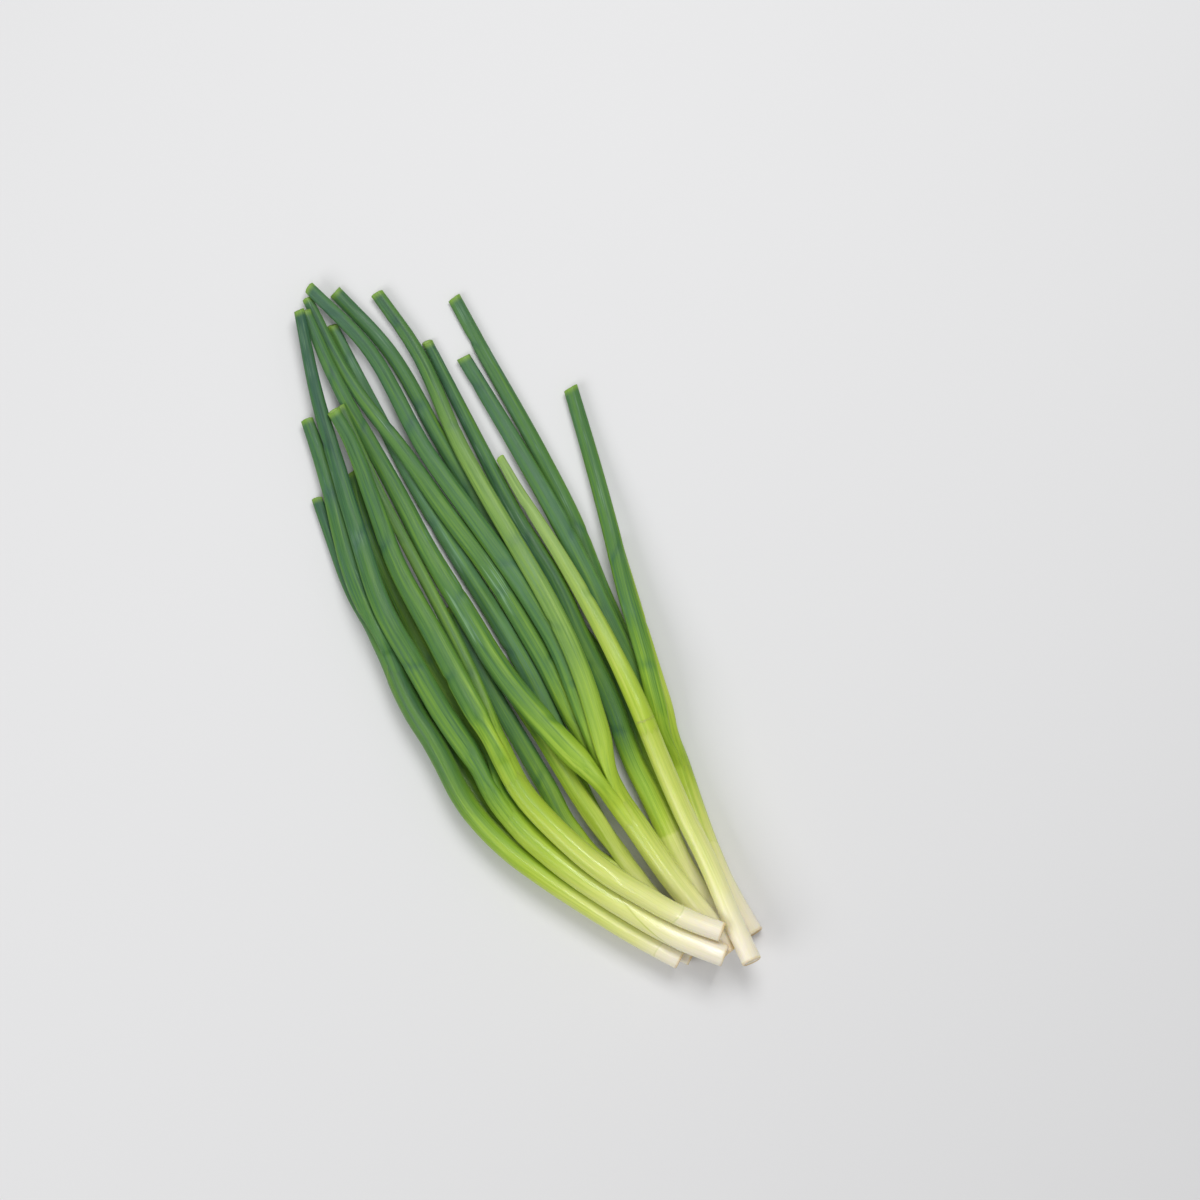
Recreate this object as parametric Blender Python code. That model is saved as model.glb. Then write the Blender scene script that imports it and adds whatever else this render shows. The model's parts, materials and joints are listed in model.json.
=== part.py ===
"""A bunch of nine trimmed spring onions, lying flat and fanned out from their cut bases.

An onion is a pale stem, which is a tight roll of leaf sheaths cut square at the base,
and one to four hollow leaves that part from it at its mouth and are cut square at the tip.
Each strand is a loft of oval sections along a route in plan, chosen by eye.
Its heights come from laying the strands down one after another, each on those below it.

Lengths are in millimetres and become metres as the meshes are made.
In plan +Y runs to the leaf tips, and +Z is up from the surface that the bunch lies on.
"""
import math
from collections import namedtuple

import bmesh
import bpy
import numpy as np

MM = 0.001

# How a strand is made
SIDES = 14
SAMPLE_STEP = 3.0
RING_SPACING = 12.0
RING_TOLERANCE = 0.12
GAP = 0.3
CLEARANCE = 0.45
STIFFNESS_STEPS = 160
SAG_LIMIT = 0.04

# How a stem and a leaf are shaped
STEM_FLATNESS = 0.95
LEAF_FLATNESS = 0.62
BASE_CHAMFER = 0.7
SHARE_INSET = 0.86
LEAF_WALL = 0.9
LEAF_TAPER = 1.7
TIP_HOLLOW = 5.0
HOLLOW_TAPER = 0.85

# A section has a corner at each side and a flat facet at its underside, which is nearer than a corner
FACET_DROP = math.cos(math.pi / SIDES)

BUNCH_NAME = "spring_onion_bunch"

# Colour, then roughness
FINISHES = {
    "pale stem": ((0.78, 0.80, 0.46), 0.36),
    "lime stem": ((0.55, 0.68, 0.20), 0.38),
    "lime leaf": ((0.42, 0.62, 0.16), 0.42),
    "mid leaf": ((0.17, 0.38, 0.09), 0.45),
    "deep leaf": ((0.07, 0.22, 0.07), 0.48),
    "bloomed leaf": ((0.12, 0.30, 0.16), 0.55),
}

Stem = namedtuple("Stem", "onion finish base_width mouth_width route")
Leaf = namedtuple("Leaf", "onion number finish share opening width tip_width route")

# A share is the part of the stem's mouth that a leaf takes: from 0 at the left to 1 at the right,
# then from 0 at the bottom to 1 at the top. The opening is the length over which it widens.
WHOLE = (0, 1, 0, 1)

# The strands, in the order in which they are laid down, the lowest first.
STRANDS = [
    Stem("onion_3", "lime stem", 7.6, 7.8, [
        (61, -122), (45, -114), (26.5, -103.5), (12, -95), (-3, -84), (-17.5, -65.5), (-28.5, -47.5)]),
    Leaf("onion_3", 1, "deep leaf", WHOLE, 26, 8.2, 5.0, [
        (-37.5, -29), (-47.5, -9), (-55.5, 9.5), (-62, 28), (-67, 44.5)]),

    Stem("onion_5", "lime stem", 7.6, 8.6, [
        (60.5, -114.5), (51.5, -107), (43, -97.5), (37.5, -90.5)]),
    Leaf("onion_5", 3, "bloomed leaf", (0.5, 1, 0, 0.45), 50, 8.6, 4.2, [
        (33, -80.5), (21, -63), (11, -40), (4.5, -25.5), (-10, 0.5), (-26, 26), (-40.5, 50),
        (-58, 83), (-72.5, 111.5)]),
    Leaf("onion_5", 2, "lime leaf", (0.4, 1, 0.45, 1), 20, 7.6, 5.0, [
        (31, -79.5), (18.5, -61.5), (6.5, -42), (-4.5, -25.5), (-15.5, -7), (-26.5, 13)]),
    Leaf("onion_5", 1, "deep leaf", (0, 0.4, 0.2, 1), 26, 8.2, 5.0, [
        (30.5, -88), (24.5, -84), (15, -74), (7.5, -60), (-2, -43.5), (-13.5, -23.5), (-28.5, 7.5)]),

    Stem("onion_7", "lime stem", 7.8, 8.4, [
        (73, -118), (66.5, -105.5), (62, -96.5)]),
    Leaf("onion_7", 2, "deep leaf", (0.5, 1, 0, 0.45), 40, 7.2, 5.2, [
        (59, -88), (49.5, -65), (44, -52), (36, -31.5), (25, -10.5), (11, 7.5), (-3, 25.5),
        (-17.5, 44.5), (-30, 64.5), (-52.5, 103), (-71.5, 123.5)]),
    Leaf("onion_7", 1, "mid leaf", (0, 1, 0.45, 1), 16, 8.6, 4.2, [
        (56.5, -86.5), (46, -64), (38.5, -49), (30.5, -27), (20, -5), (10, 17), (-3, 38),
        (-16.5, 64), (-37.5, 105.5)]),

    Stem("onion_9", "pale stem", 7.0, 7.8, [
        (84, -114), (78.5, -105), (71.5, -92.5), (65.5, -78), (60.5, -64), (56.5, -52)]),
    Leaf("onion_9", 2, "mid leaf", (0.45, 1, 0, 0.45), 60, 7.0, 5.2, [
        (51.5, -40), (44, -23.5), (34.5, -3.5), (25.5, 17), (18, 36.5), (4, 64.5), (-17.5, 103),
        (-27.5, 121.5)]),
    Leaf("onion_9", 1, "bloomed leaf", (0, 0.5, 0, 0.55), 30, 8.4, 5.4, [
        (50, -38), (43.5, -25.5), (33, -5), (22, 18.5), (9.5, 42.5), (-3, 64.5), (-24, 99.5)]),
    Leaf("onion_9", 4, "lime leaf", (0.5, 1, 0.45, 1), 26, 6.6, 5.0, [
        (54, -41), (49.5, -27), (45, -12.5), (37.5, 13), (32, 31.5)]),
    Leaf("onion_9", 3, "mid leaf", (0, 0.5, 0.55, 1), 26, 7.4, 5.6, [
        (51, -42), (47, -27), (42.5, -9), (36, 13), (30.5, 35), (24.5, 57.5), (15.5, 88.5)]),

    Stem("onion_6", "lime stem", 8.4, 9.6, [
        (75.5, -119), (63.5, -105), (56, -96), (48.5, -86), (41.5, -75.5), (34.5, -65.5)]),
    Leaf("onion_6", 2, "mid leaf", (0, 0.5, 0, 0.45), 60, 8.6, 4.0, [
        (24.5, -48.5), (16, -33.5), (8.5, -17), (0, -2), (-14, 20.5), (-30.5, 42.5), (-46, 64.5),
        (-66, 91), (-81.5, 121)]),
    Leaf("onion_6", 3, "bloomed leaf", (0.5, 1, 0, 0.45), 50, 8.4, 4.6, [
        (26, -47.5), (20.5, -31.5), (12, -9), (-1, 13), (-16.5, 35), (-37.5, 64.5), (-59.5, 103),
        (-81, 125)]),
    Leaf("onion_6", 4, "lime leaf", (0.54, 1, 0.45, 1), 26, 7.8, 5.0, [
        (30.5, -53), (26.5, -38), (19.5, -16), (9.5, 6), (-3, 28), (-16, 50), (-24, 64.5), (-42, 103),
        (-56, 123)]),
    Leaf("onion_6", 1, "mid leaf", (0, 0.54, 0.45, 1), 26, 9.8, 4.0, [
        (23, -53.5), (12, -42), (1, -30), (-10, -16), (-23.5, 6), (-37, 28), (-48.5, 50), (-56.5, 64.5),
        (-72.5, 94), (-82, 116.5)]),

    Stem("onion_1", "lime stem", 7.8, 8.6, [
        (56.5, -122.5), (41.5, -114.5), (23, -103), (6.5, -92), (-8.5, -80.5), (-21, -67),
        (-34, -43.5), (-43, -29), (-51, -10.5)]),
    Leaf("onion_1", 2, "deep leaf", (0, 0.42, 0, 0.8), 26, 6.4, 4.2, [
        (-58.5, 0.5), (-66, 16), (-72, 31.5), (-78, 47.5)]),
    Leaf("onion_1", 1, "mid leaf", (0.42, 1, 0, 1), 26, 8.8, 4.8, [
        (-58.5, 6), (-64.5, 20.5), (-71.5, 46), (-76, 61), (-81.5, 76.5)]),

    Stem("onion_2", "lime stem", 8.4, 9.2, [
        (72.5, -120.5), (56, -114), (34, -101.5), (12, -86.5), (-3, -73), (-10, -64)]),
    Leaf("onion_2", 2, "deep leaf", (0.62, 1, 0, 0.8), 26, 6.6, 4.4, [
        (-14, -48), (-21, -36.5), (-36, -12.5), (-47.5, 9.5), (-60.5, 39), (-65, 57.5)]),
    Leaf("onion_2", 1, "mid leaf", (0, 0.62, 0, 1), 26, 9.0, 4.0, [
        (-19.5, -49), (-30.5, -32.5), (-40, -16), (-52.5, 6), (-62.5, 35), (-70.5, 61), (-77, 83),
        (-84, 116.5)]),

    Stem("onion_8", "pale stem", 7.6, 7.6, [
        (82.5, -123.5), (74, -105), (66, -86), (58.5, -71), (52, -56.5), (43, -34.5)]),
    Leaf("onion_8", 1, "lime leaf", WHOLE, 26, 7.2, 3.4, [
        (33, -12.5), (21.5, 9.5), (8.5, 31.5), (-5.5, 53.5), (-10.5, 62.5)]),

    Stem("onion_4", "pale stem", 7.6, 9.0, [
        (71.5, -111.5), (56, -105.5), (41.5, -97.5), (26.5, -88), (12, -75.5), (-3, -58.5),
        (-7.5, -50)]),
    Leaf("onion_4", 2, "lime leaf", (0.64, 1, 0, 0.8), 26, 5.2, 3.6, [
        (-13.5, -32.5), (-21, -16), (-32, 6), (-43.5, 28), (-55, 50), (-62.5, 66.5), (-69, 81)]),
    Leaf("onion_4", 1, "mid leaf", (0, 0.64, 0, 1), 26, 9.2, 5.0, [
        (-14, -40), (-23, -23.5), (-33, -5), (-48.5, 24), (-56.5, 46), (-67, 72), (-71.5, 79.5)]),
]


def clear_scene():
    """Remove every object of the scene."""
    for item in list(bpy.data.objects):
        bpy.data.objects.remove(item, do_unlink=True)


def unit(vector):
    """The vector at length 1."""
    return vector / np.linalg.norm(vector)


def left_of(direction):
    """The level unit vector to the left of a direction."""
    return unit(np.array([-direction[1], direction[0], 0.0]))


def smooth_route(points, first_slope=None):
    """Evenly spaced points on a smooth curve through a route's own points."""
    points = np.array(points, dtype=float)
    chords = np.linalg.norm(np.diff(points, axis=0), axis=1)
    knots = np.concatenate([[0.0], np.cumsum(chords)])
    slopes = np.gradient(points, knots, axis=0)
    if first_slope is not None:
        slopes[0] = first_slope
    count = round(knots[-1] / SAMPLE_STEP) + 1
    at = np.linspace(0.0, knots[-1], count)
    span = np.clip(np.searchsorted(knots, at, side="right") - 1, 0, len(chords) - 1)
    width = chords[span][:, None]
    u = ((at - knots[span]) / chords[span])[:, None]
    start = points[span] * (1 + 2 * u) + slopes[span] * width * u
    end = points[span + 1] * (3 - 2 * u) - slopes[span + 1] * width * (1 - u)
    return start * (1 - u) ** 2 + end * u ** 2


def ease(x):
    """A smooth step from 0 to 1."""
    x = np.clip(x, 0.0, 1.0)
    return x * x * (3 - 2 * x)


def stem_strand(stem):
    """A stem's plan, and its half-width and half-height at each point of it."""
    plan = smooth_route(stem.route)
    along = np.linspace(0.0, 1.0, len(plan))
    across = 0.5 * (stem.base_width + (stem.mouth_width - stem.base_width) * ease(along * 2))
    return plan, across, across * STEM_FLATNESS


def leaf_strand(leaf, mouth):
    """A leaf's path in plan, its half-width and half-height, and its root in its share of the mouth."""
    centre, direction, mouth_across, mouth_up = mouth
    left, right, bottom, top = leaf.share
    side = left_of(direction)
    inset = 1.0 if leaf.share == WHOLE else SHARE_INSET
    gap = 0.0 if leaf.share == WHOLE else GAP / 2
    to_right = (left + right - 1) * inset
    upward = (bottom + top - 1) * inset
    root = centre - side * to_right * mouth_across + np.cross(direction, side) * upward * mouth_up
    root = root + direction * GAP
    root_across = (right - left) * inset * mouth_across * math.sqrt(1 - upward * upward) - gap
    root_up = (top - bottom) * inset * mouth_up * math.sqrt(1 - to_right * to_right) - gap
    plan = smooth_route([tuple(root[:2])] + leaf.route, unit(direction[:2]))
    along = np.arange(len(plan)) * SAMPLE_STEP
    opened = ease(along / leaf.opening)
    taper = (along / along[-1]) ** LEAF_TAPER
    full_across = 0.5 * (leaf.width + (leaf.tip_width - leaf.width) * taper)
    across = root_across + (full_across - root_across) * opened
    up = root_up + (full_across * LEAF_FLATNESS - root_up) * opened
    return plan, across, up, root[2]


def stacking_need(plan, across, up, laid):
    """The least heights that keep a strand clear of the surface and of what is laid below it."""
    need = up * FACET_DROP
    for i, (x, y) in enumerate(plan):
        apart = np.hypot(laid[:, 0] - x, laid[:, 1] - y)
        reach = laid[:, 3] + across[i] + CLEARANCE
        stack = laid[:, 4] + up[i] + CLEARANCE
        over = laid[:, 2] + stack * np.sqrt(np.clip(1 - (apart / reach) ** 2, 0.0, 1.0))
        need[i] = max(need[i], np.max(over, where=apart < reach, initial=0.0))
    return need


def resting_heights(need, root_height=None):
    """The heights at which a stiff strand comes to rest, at or above what it needs."""
    height = need.copy()
    for _ in range(STIFFNESS_STEPS):
        if root_height is not None:
            height[0] = root_height
        before = np.concatenate([height[:1], height[:-1]])
        after = np.concatenate([height[1:], height[-1:]])
        height = np.maximum(need, (before + after) / 2)
    if root_height is not None:
        height[0] = root_height
    return height


def station_indices(path):
    """The samples that need a ring: closer together where the strand bends or swells."""
    furthest = round(RING_SPACING / SAMPLE_STEP)
    stations = [0]
    last = len(path) - 1
    while stations[-1] < last:
        start = stations[-1]
        end = min(start + 1, last)
        for candidate in range(start + 2, min(start + furthest, last) + 1):
            u = np.linspace(0.0, 1.0, candidate - start + 1)[:, None]
            straight = path[start] * (1 - u) + path[candidate] * u
            if np.abs(straight - path[start:candidate + 1]).max() > RING_TOLERANCE:
                break
            end = candidate
        stations.append(end)
    return stations


def section(centre, direction, across, up):
    """The corners of one oval section, kept from sinking below the surface."""
    side = left_of(direction)
    top = np.cross(direction, side)
    ring = []
    for corner in range(SIDES):
        angle = 2 * math.pi * corner / SIDES
        point = centre + side * across * math.cos(angle) + top * up * math.sin(angle)
        if point[2] < SAG_LIMIT:
            point[2] = 0.0
        ring.append(point)
    return ring


def directions(path, first=None):
    """The direction of travel at each point of a path."""
    ahead = np.gradient(path[:, :3], axis=0)
    ahead = ahead / np.linalg.norm(ahead, axis=1)[:, None]
    if first is not None:
        ahead[0] = first
    return ahead


def stem_rings(path):
    """The sections of a stem, with a small chamfer round its cut base."""
    ahead = directions(path)
    start = path[0]
    rings = [section(start[:3], ahead[0], start[3] - BASE_CHAMFER, start[4] - BASE_CHAMFER)]
    rings.append(section(start[:3] + ahead[0] * BASE_CHAMFER, ahead[0], start[3], start[4]))
    for i in station_indices(path)[1:]:
        rings.append(section(path[i, :3], ahead[i], path[i, 3], path[i, 4]))
    return rings


def leaf_rings(path, root_direction):
    """The sections of a leaf, turned in at its cut tip to show that it is hollow."""
    ahead = directions(path, root_direction)
    rings = [section(path[i, :3], ahead[i], path[i, 3], path[i, 4]) for i in station_indices(path)]
    tip, out = path[-1], ahead[-1]
    inner = np.array([tip[3] - LEAF_WALL, tip[4] - LEAF_WALL])
    floor = inner * HOLLOW_TAPER
    rings.append(section(tip[:3], out, inner[0], inner[1]))
    rings.append(section(tip[:3] - out * TIP_HOLLOW, out, floor[0], floor[1]))
    return rings


def loft(name, rings):
    """One closed solid through a row of sections, with flat ends."""
    shape = bmesh.new()
    loops = [[shape.verts.new(point * MM) for point in ring] for ring in rings]
    for near, far in zip(loops, loops[1:]):
        for i in range(SIDES):
            j = (i + 1) % SIDES
            shape.faces.new((near[i], near[j], far[j], far[i]))
    shape.faces.new(loops[0])
    shape.faces.new(loops[-1])
    bmesh.ops.recalc_face_normals(shape, faces=shape.faces)
    mesh = bpy.data.meshes.new(name)
    shape.to_mesh(mesh)
    shape.free()
    mesh.shade_smooth()
    mesh.set_sharp_from_angle(angle=math.radians(50))
    return bpy.data.objects.new(name, mesh)


def strand_material(name, finish):
    """A material of one strand's own."""
    colour, roughness = FINISHES[finish]
    material = bpy.data.materials.new(name)
    material.use_nodes = True
    shader = material.node_tree.nodes["Principled BSDF"]
    shader.inputs["Base Color"].default_value = (*colour, 1.0)
    shader.inputs["Roughness"].default_value = roughness
    shader.inputs["Metallic"].default_value = 0.0
    material.diffuse_color = (*colour, 1.0)
    return material


def lay_stem(stem, laid):
    """A stem's path: its plan and resting height, then its half-width and half-height.

    Its cut base overhangs what lies under it, level with the next sample.
    """
    plan, across, up = stem_strand(stem)
    need = stacking_need(plan, across, up, stacked(laid))
    need[0] = need[1]
    return np.column_stack([plan, resting_heights(need), across, up])


def lay_leaf(leaf, mouth, laid):
    """A leaf's path, in the same columns, from its root in the stem's mouth to its free cut tip."""
    plan, across, up, root_height = leaf_strand(leaf, mouth)
    need = stacking_need(plan, across, up, stacked(laid, f"{leaf.onion}_stem"))
    need[-1] = need[-2]
    return np.column_stack([plan, resting_heights(need, root_height), across, up])


def stacked(laid, left_out=None):
    """The samples of all the strands that are laid already but one, without the cut bases."""
    paths = [np.empty((0, 5))]
    for name, path in laid.items():
        if name != left_out:
            paths.append(path[1:] if name.endswith("stem") else path)
    return np.vstack(paths)


def build_strands():
    """Lay every strand down in turn and make its solid."""
    pieces = []
    laid = {}
    mouths = {}
    for strand in STRANDS:
        if isinstance(strand, Stem):
            name = f"{strand.onion}_stem"
            path = lay_stem(strand, laid)
            mouths[strand.onion] = (path[-1, :3], directions(path)[-1], path[-1, 3], path[-1, 4])
            rings = stem_rings(path)
        else:
            name = f"{strand.onion}_leaf_{strand.number}"
            path = lay_leaf(strand, mouths[strand.onion], laid)
            rings = leaf_rings(path, mouths[strand.onion][1])
        laid[name] = path
        piece = loft(name, rings)
        piece.data.materials.append(strand_material(name, strand.finish))
        pieces.append(piece)
    return pieces


def place(pieces):
    """Put the pieces in their collection, with the middle of the bunch over the origin."""
    collection = bpy.data.collections.new(BUNCH_NAME)
    bpy.context.scene.collection.children.link(collection)
    holder = bpy.data.objects.new(f"{BUNCH_NAME}_origin", None)
    collection.objects.link(holder)
    corners = np.array([vertex.co for piece in pieces for vertex in piece.data.vertices])
    middle = (corners.min(axis=0) + corners.max(axis=0)) / 2
    holder.location = (-middle[0], -middle[1], -corners[:, 2].min())
    for piece in pieces:
        collection.objects.link(piece)
        piece.parent = holder


def main():
    """Build the bunch."""
    clear_scene()
    place(build_strands())


main()
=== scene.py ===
# %% [markdown]
# # A bunch of spring onions
#
# Nine trimmed spring onions lie fanned out on a pale table, seen from above.
# Each onion is a pale stem, a tight roll of leaf sheaths, and the hollow green leaves that part from it.
# Their plain solids are already in place as the frame. This script grows the visible skin of every
# strand round the solid's own path, so nothing has to be fitted, and then gives it its living colours.
# Lengths are in millimetres while shapes are worked out, and become metres as each mesh is made.

import json
import math
import zlib

import bmesh
import bpy
import numpy as np
from mathutils import Matrix, Vector


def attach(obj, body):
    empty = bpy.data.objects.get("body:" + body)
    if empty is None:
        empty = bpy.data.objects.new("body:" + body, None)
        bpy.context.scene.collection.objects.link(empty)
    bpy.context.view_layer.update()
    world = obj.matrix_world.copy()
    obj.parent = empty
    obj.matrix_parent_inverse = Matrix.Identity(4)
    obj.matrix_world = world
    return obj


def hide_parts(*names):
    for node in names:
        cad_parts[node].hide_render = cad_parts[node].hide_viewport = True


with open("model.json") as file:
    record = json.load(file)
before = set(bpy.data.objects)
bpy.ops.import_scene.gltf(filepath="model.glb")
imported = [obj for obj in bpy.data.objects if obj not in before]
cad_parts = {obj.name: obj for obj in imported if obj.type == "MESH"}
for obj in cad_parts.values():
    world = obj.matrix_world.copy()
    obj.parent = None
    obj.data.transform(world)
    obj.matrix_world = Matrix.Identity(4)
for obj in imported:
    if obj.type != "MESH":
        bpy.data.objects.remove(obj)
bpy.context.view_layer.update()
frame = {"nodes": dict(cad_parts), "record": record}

MM = 0.001
print("strands in the frame:", len(frame["nodes"]))

# %% [markdown]
# ## Reading a strand from its solid
#
# A solid is a row of oval sections with the same number of corners, joined by straight sides.
# We could type the routes again here, but they would drift from the solids with the first change.
# Instead we start at the flat end with the lowest y, and walk from corner to corner: the neighbours
# of one section that haven't been seen yet are the next section. The walk ends by itself at the
# far end, where the next layer doesn't have the right number of corners.

# %% Walk the sections
CAD_SIDES = 14
WELD = 1e-6
COPLANAR = 0.001

# The ends of a solid stand upright, so their normals rise less than this
STANDING = 0.5


def sections_of(node):
    """The sections of a strand's solid in order, each as its corners, in millimetres."""
    shape = bmesh.new()
    shape.from_mesh(frame["nodes"][node].data)
    bmesh.ops.remove_doubles(shape, verts=shape.verts, dist=WELD)
    bmesh.ops.dissolve_limit(shape, angle_limit=COPLANAR, verts=[], edges=shape.edges)
    ends = [face for face in shape.faces if len(face.verts) == CAD_SIDES and abs(face.normal.z) < STANDING]
    layer = list(min(ends, key=lambda face: face.calc_center_median().y).verts)
    seen = set(layer)
    sections = []
    while len(layer) == CAD_SIDES:
        sections.append([corner.co[:] for corner in layer])
        near = [edge.other_vert(corner) for corner in layer for edge in corner.link_edges]
        layer = [corner for corner in dict.fromkeys(near) if corner not in seen]
        seen.update(layer)
    shape.free()
    return np.array(sections) / MM


# %% [markdown]
# A section is worth more to us as a few numbers: its centre, the direction that the strand travels in,
# and its half-width and half-height. The direction is the normal of the section's own plane, which is
# the last row of a singular value decomposition of its corners. Corners stand at the tips of the oval's
# width, but not quite at its top, so the height is divided by the cosine of half a corner's angle.

# %% Turn sections into a path
def unit(vectors):
    """Vectors at length 1."""
    return vectors / np.linalg.norm(vectors, axis=-1, keepdims=True)


def sides_of(directions):
    """The level unit vectors to the left of some directions."""
    flat = np.stack([-directions[..., 1], directions[..., 0], np.zeros(directions.shape[:-1])], axis=-1)
    return unit(flat)


def path_of(node):
    """A strand's path: a row for each section with its centre, direction, half-width and half-height."""
    rows = []
    sections = sections_of(node)
    centres = sections.mean(axis=1)
    travel = np.gradient(centres, axis=0)
    for corners, centre, onward in zip(sections, centres, travel):
        direction = np.linalg.svd(corners - centre)[2][2]
        direction = direction * np.sign(direction @ onward)
        side = sides_of(direction)
        top = np.cross(direction, side)
        across = np.abs((corners - centre) @ side).max()
        up = np.abs((corners - centre) @ top).max() / math.cos(math.pi / CAD_SIDES)
        rows.append([*centre, *direction, across, up])
    rows = np.array(rows)
    if node.endswith("stem"):
        rows[0, 6:] = rows[1, 6:]
        rows = np.delete(rows, 1, axis=0)
    return rows


paths = {node: path_of(node) for node in sorted(frame["nodes"])}
print("sections read:", sum(len(path) for path in paths.values()))

# %% [markdown]
# The solids are coarse, with a section every centimetre or so. A smooth curve through the sections gives
# the skin a finer one: a cubic whose slopes at each section come from the sections beside it.
# Beyond either end the strand goes straight on, which lets a leaf start inside its stem.

# %% Sample a path anywhere
def lengths_of(path):
    """The distance of each section along its strand."""
    return np.concatenate([[0.0], np.cumsum(np.linalg.norm(np.diff(path[:, :3], axis=0), axis=1))])


def sample(path, distance):
    """Centre, direction, half-width and half-height at any distances along a strand."""
    knots = lengths_of(path)
    slopes = np.gradient(path, knots, axis=0)
    inside = np.clip(distance, 0.0, knots[-1])
    span = np.clip(np.searchsorted(knots, inside, side="right") - 1, 0, len(knots) - 2)
    width = np.diff(knots)[span][..., None]
    u = (inside - knots[span])[..., None] / width
    start = path[span] * (1 + 2 * u) + slopes[span] * width * u
    end = path[span + 1] * (3 - 2 * u) - slopes[span + 1] * width * (1 - u)
    found = start * (1 - u) ** 2 + end * u ** 2
    direction = unit(found[..., 3:6])
    centre = found[..., :3] + direction * (distance - inside)[..., None]
    return centre, direction, found[..., 6], found[..., 7]


def ease(x):
    """A smooth step from 0 to 1."""
    x = np.clip(x, 0.0, 1.0)
    return x * x * (3 - 2 * x)


# %% [markdown]
# ## The skin
#
# A skin is a grid: rows across the strand, and the same number of points in each row. Every point has
# its own distance along the strand, so an edge can run obliquely, as a cut leaf's or a torn sheath's does.
# The points of a row lie level to the side of the strand's middle and upward from it. The skin keeps a
# hair inside the solid's oval and never dips below the table.

# %% The grid of a skin
AROUND = 40
ROW_STEP = 1.2
SKIN_SHRINK = 0.985
angles = np.linspace(0.0, 2 * math.pi, AROUND, endpoint=False)
level, upright = np.cos(angles), np.sin(angles)


def skin_points(centre, direction, sideways, upward):
    """Points at given distances to the left of a strand's middle and upward from it."""
    side = sides_of(direction)
    top = np.cross(direction, side)
    points = centre + side * sideways[..., None] + top * upward[..., None]
    points[..., 2] = np.maximum(points[..., 2], 0.0)
    return points


# %% [markdown]
# A mesh can carry numbers on its points, and a material can read them by name. Every skin gets the same
# set: where a point is in its strand, how green it is, how far it has faded, how waxy it is, how far out of
# a fold it stands, how far it is from a cut base, a cut tip, a sheath's lip and the edge of an older
# sheath, and how clearly that edge shows. That is far better than painting by position, because the
# colours then follow each strand however it bends.

# %% Make a mesh that carries the strand's numbers
# Stored where a measure doesn't apply to a strand
FAR = 99.0
SHARP_ANGLE = math.radians(60)
MEASURES = (
    "greenness", "paleness", "waxiness", "fold",
    "from_base", "from_tip", "from_lip", "past_sheath", "edge_clear",
)


def make_skin(name, points, place, measures):
    """A closed mesh over a grid of points, with its measures stored on them."""
    rows = len(points)
    first = np.arange(rows * AROUND).reshape(rows, AROUND)
    after = np.roll(first, -1, axis=1)
    quads = np.stack([first[:-1], first[1:], after[1:], after[:-1]], axis=-1).reshape(-1, 4)
    faces = quads.tolist() + [first[0].tolist(), first[-1][::-1].tolist()]
    mesh = bpy.data.meshes.new(name)
    mesh.from_pydata((points.reshape(-1, 3) * MM).tolist(), [], faces)
    mesh.shade_smooth()
    mesh.set_sharp_from_angle(angle=SHARP_ANGLE)
    where = mesh.attributes.new("strand", "FLOAT_VECTOR", "POINT")
    where.data.foreach_set("vector", place.reshape(-1).astype(np.float32))
    for measure in MEASURES:
        value = np.broadcast_to(measures.get(measure, FAR), points.shape[:-1])
        layer = mesh.attributes.new(measure, "FLOAT", "POINT")
        layer.data.foreach_set("value", value.reshape(-1).astype(np.float32))
    piece = bpy.data.objects.new(name, mesh)
    bpy.context.scene.collection.objects.link(piece)
    return piece


# %% [markdown]
# ## How green each onion is
#
# The part of an onion that grew in the soil stays creamy white. From there its colour climbs through
# pale yellow and lime to a full green, at its own pace in each onion. We call the level from cream to
# the darkest blue-green 0 to 1. For each onion three distances from the cut base set the climb: where the
# cream ends, where it is lime and where it is full green. The last number is the level at its furthest tip.

# %% Greenness along an onion
PALE_LEVEL = 0.14
LIME_LEVEL = 0.45
GREEN_LEVEL = 0.75

# Where the climb starts and where it is at the pale level, as multiples of where the cream ends
CLIMB_START = 0.3
PALE_START = 1.6

# As far as any onion reaches; it also keeps the streaks of one onion apart from those of the next
FURTHEST = 300.0

CLIMBS = {
    "onion_1": (12, 76, 113, 1.0),
    "onion_2": (20, 86, 111, 0.98),
    "onion_3": (15, 80, 130, 0.98),
    "onion_4": (16, 98, 130, 0.92),
    "onion_5": (12, 62, 102, 0.94),
    "onion_6": (18, 82, 126, 0.93),
    "onion_7": (17, 66, 89, 0.95),
    "onion_8": (20, 116, 226, 0.82),
    "onion_9": (18, 76, 130, 0.92),
}

# Added to the level of a whole leaf once it has left its stem. For the deep leaves, which lie under the
# others, the darker level is partly their own deep green and partly painted shade
LEAF_TINTS_AND_PAINTED_SHADE = {"lime_leaf": -0.10, "mid_leaf": 0.0, "deep_leaf": 0.09, "bloomed_leaf": 0.04}
TINT_EASE = 34.0

# The same for single leaves that are greener or yellower than others with their finish. The second leaf of
# onion 2 is also made lighter, as painted light against the shade of the leaves over it
OWN_TINTS_AND_PAINTED_LIGHT = {
    "onion_2_leaf_2": -0.20, "onion_4_leaf_2": 0.08, "onion_7_leaf_2": -0.12, "onion_9_leaf_4": -0.14,
}

# How far a whole leaf fades towards a soft grey-green
FADED_LEAVES = {"onion_8_leaf_1": 0.75, "onion_6_leaf_4": 0.35, "onion_4_leaf_2": 0.2, "onion_9_leaf_4": 0.25}
FADE_IN = 90.0

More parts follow.
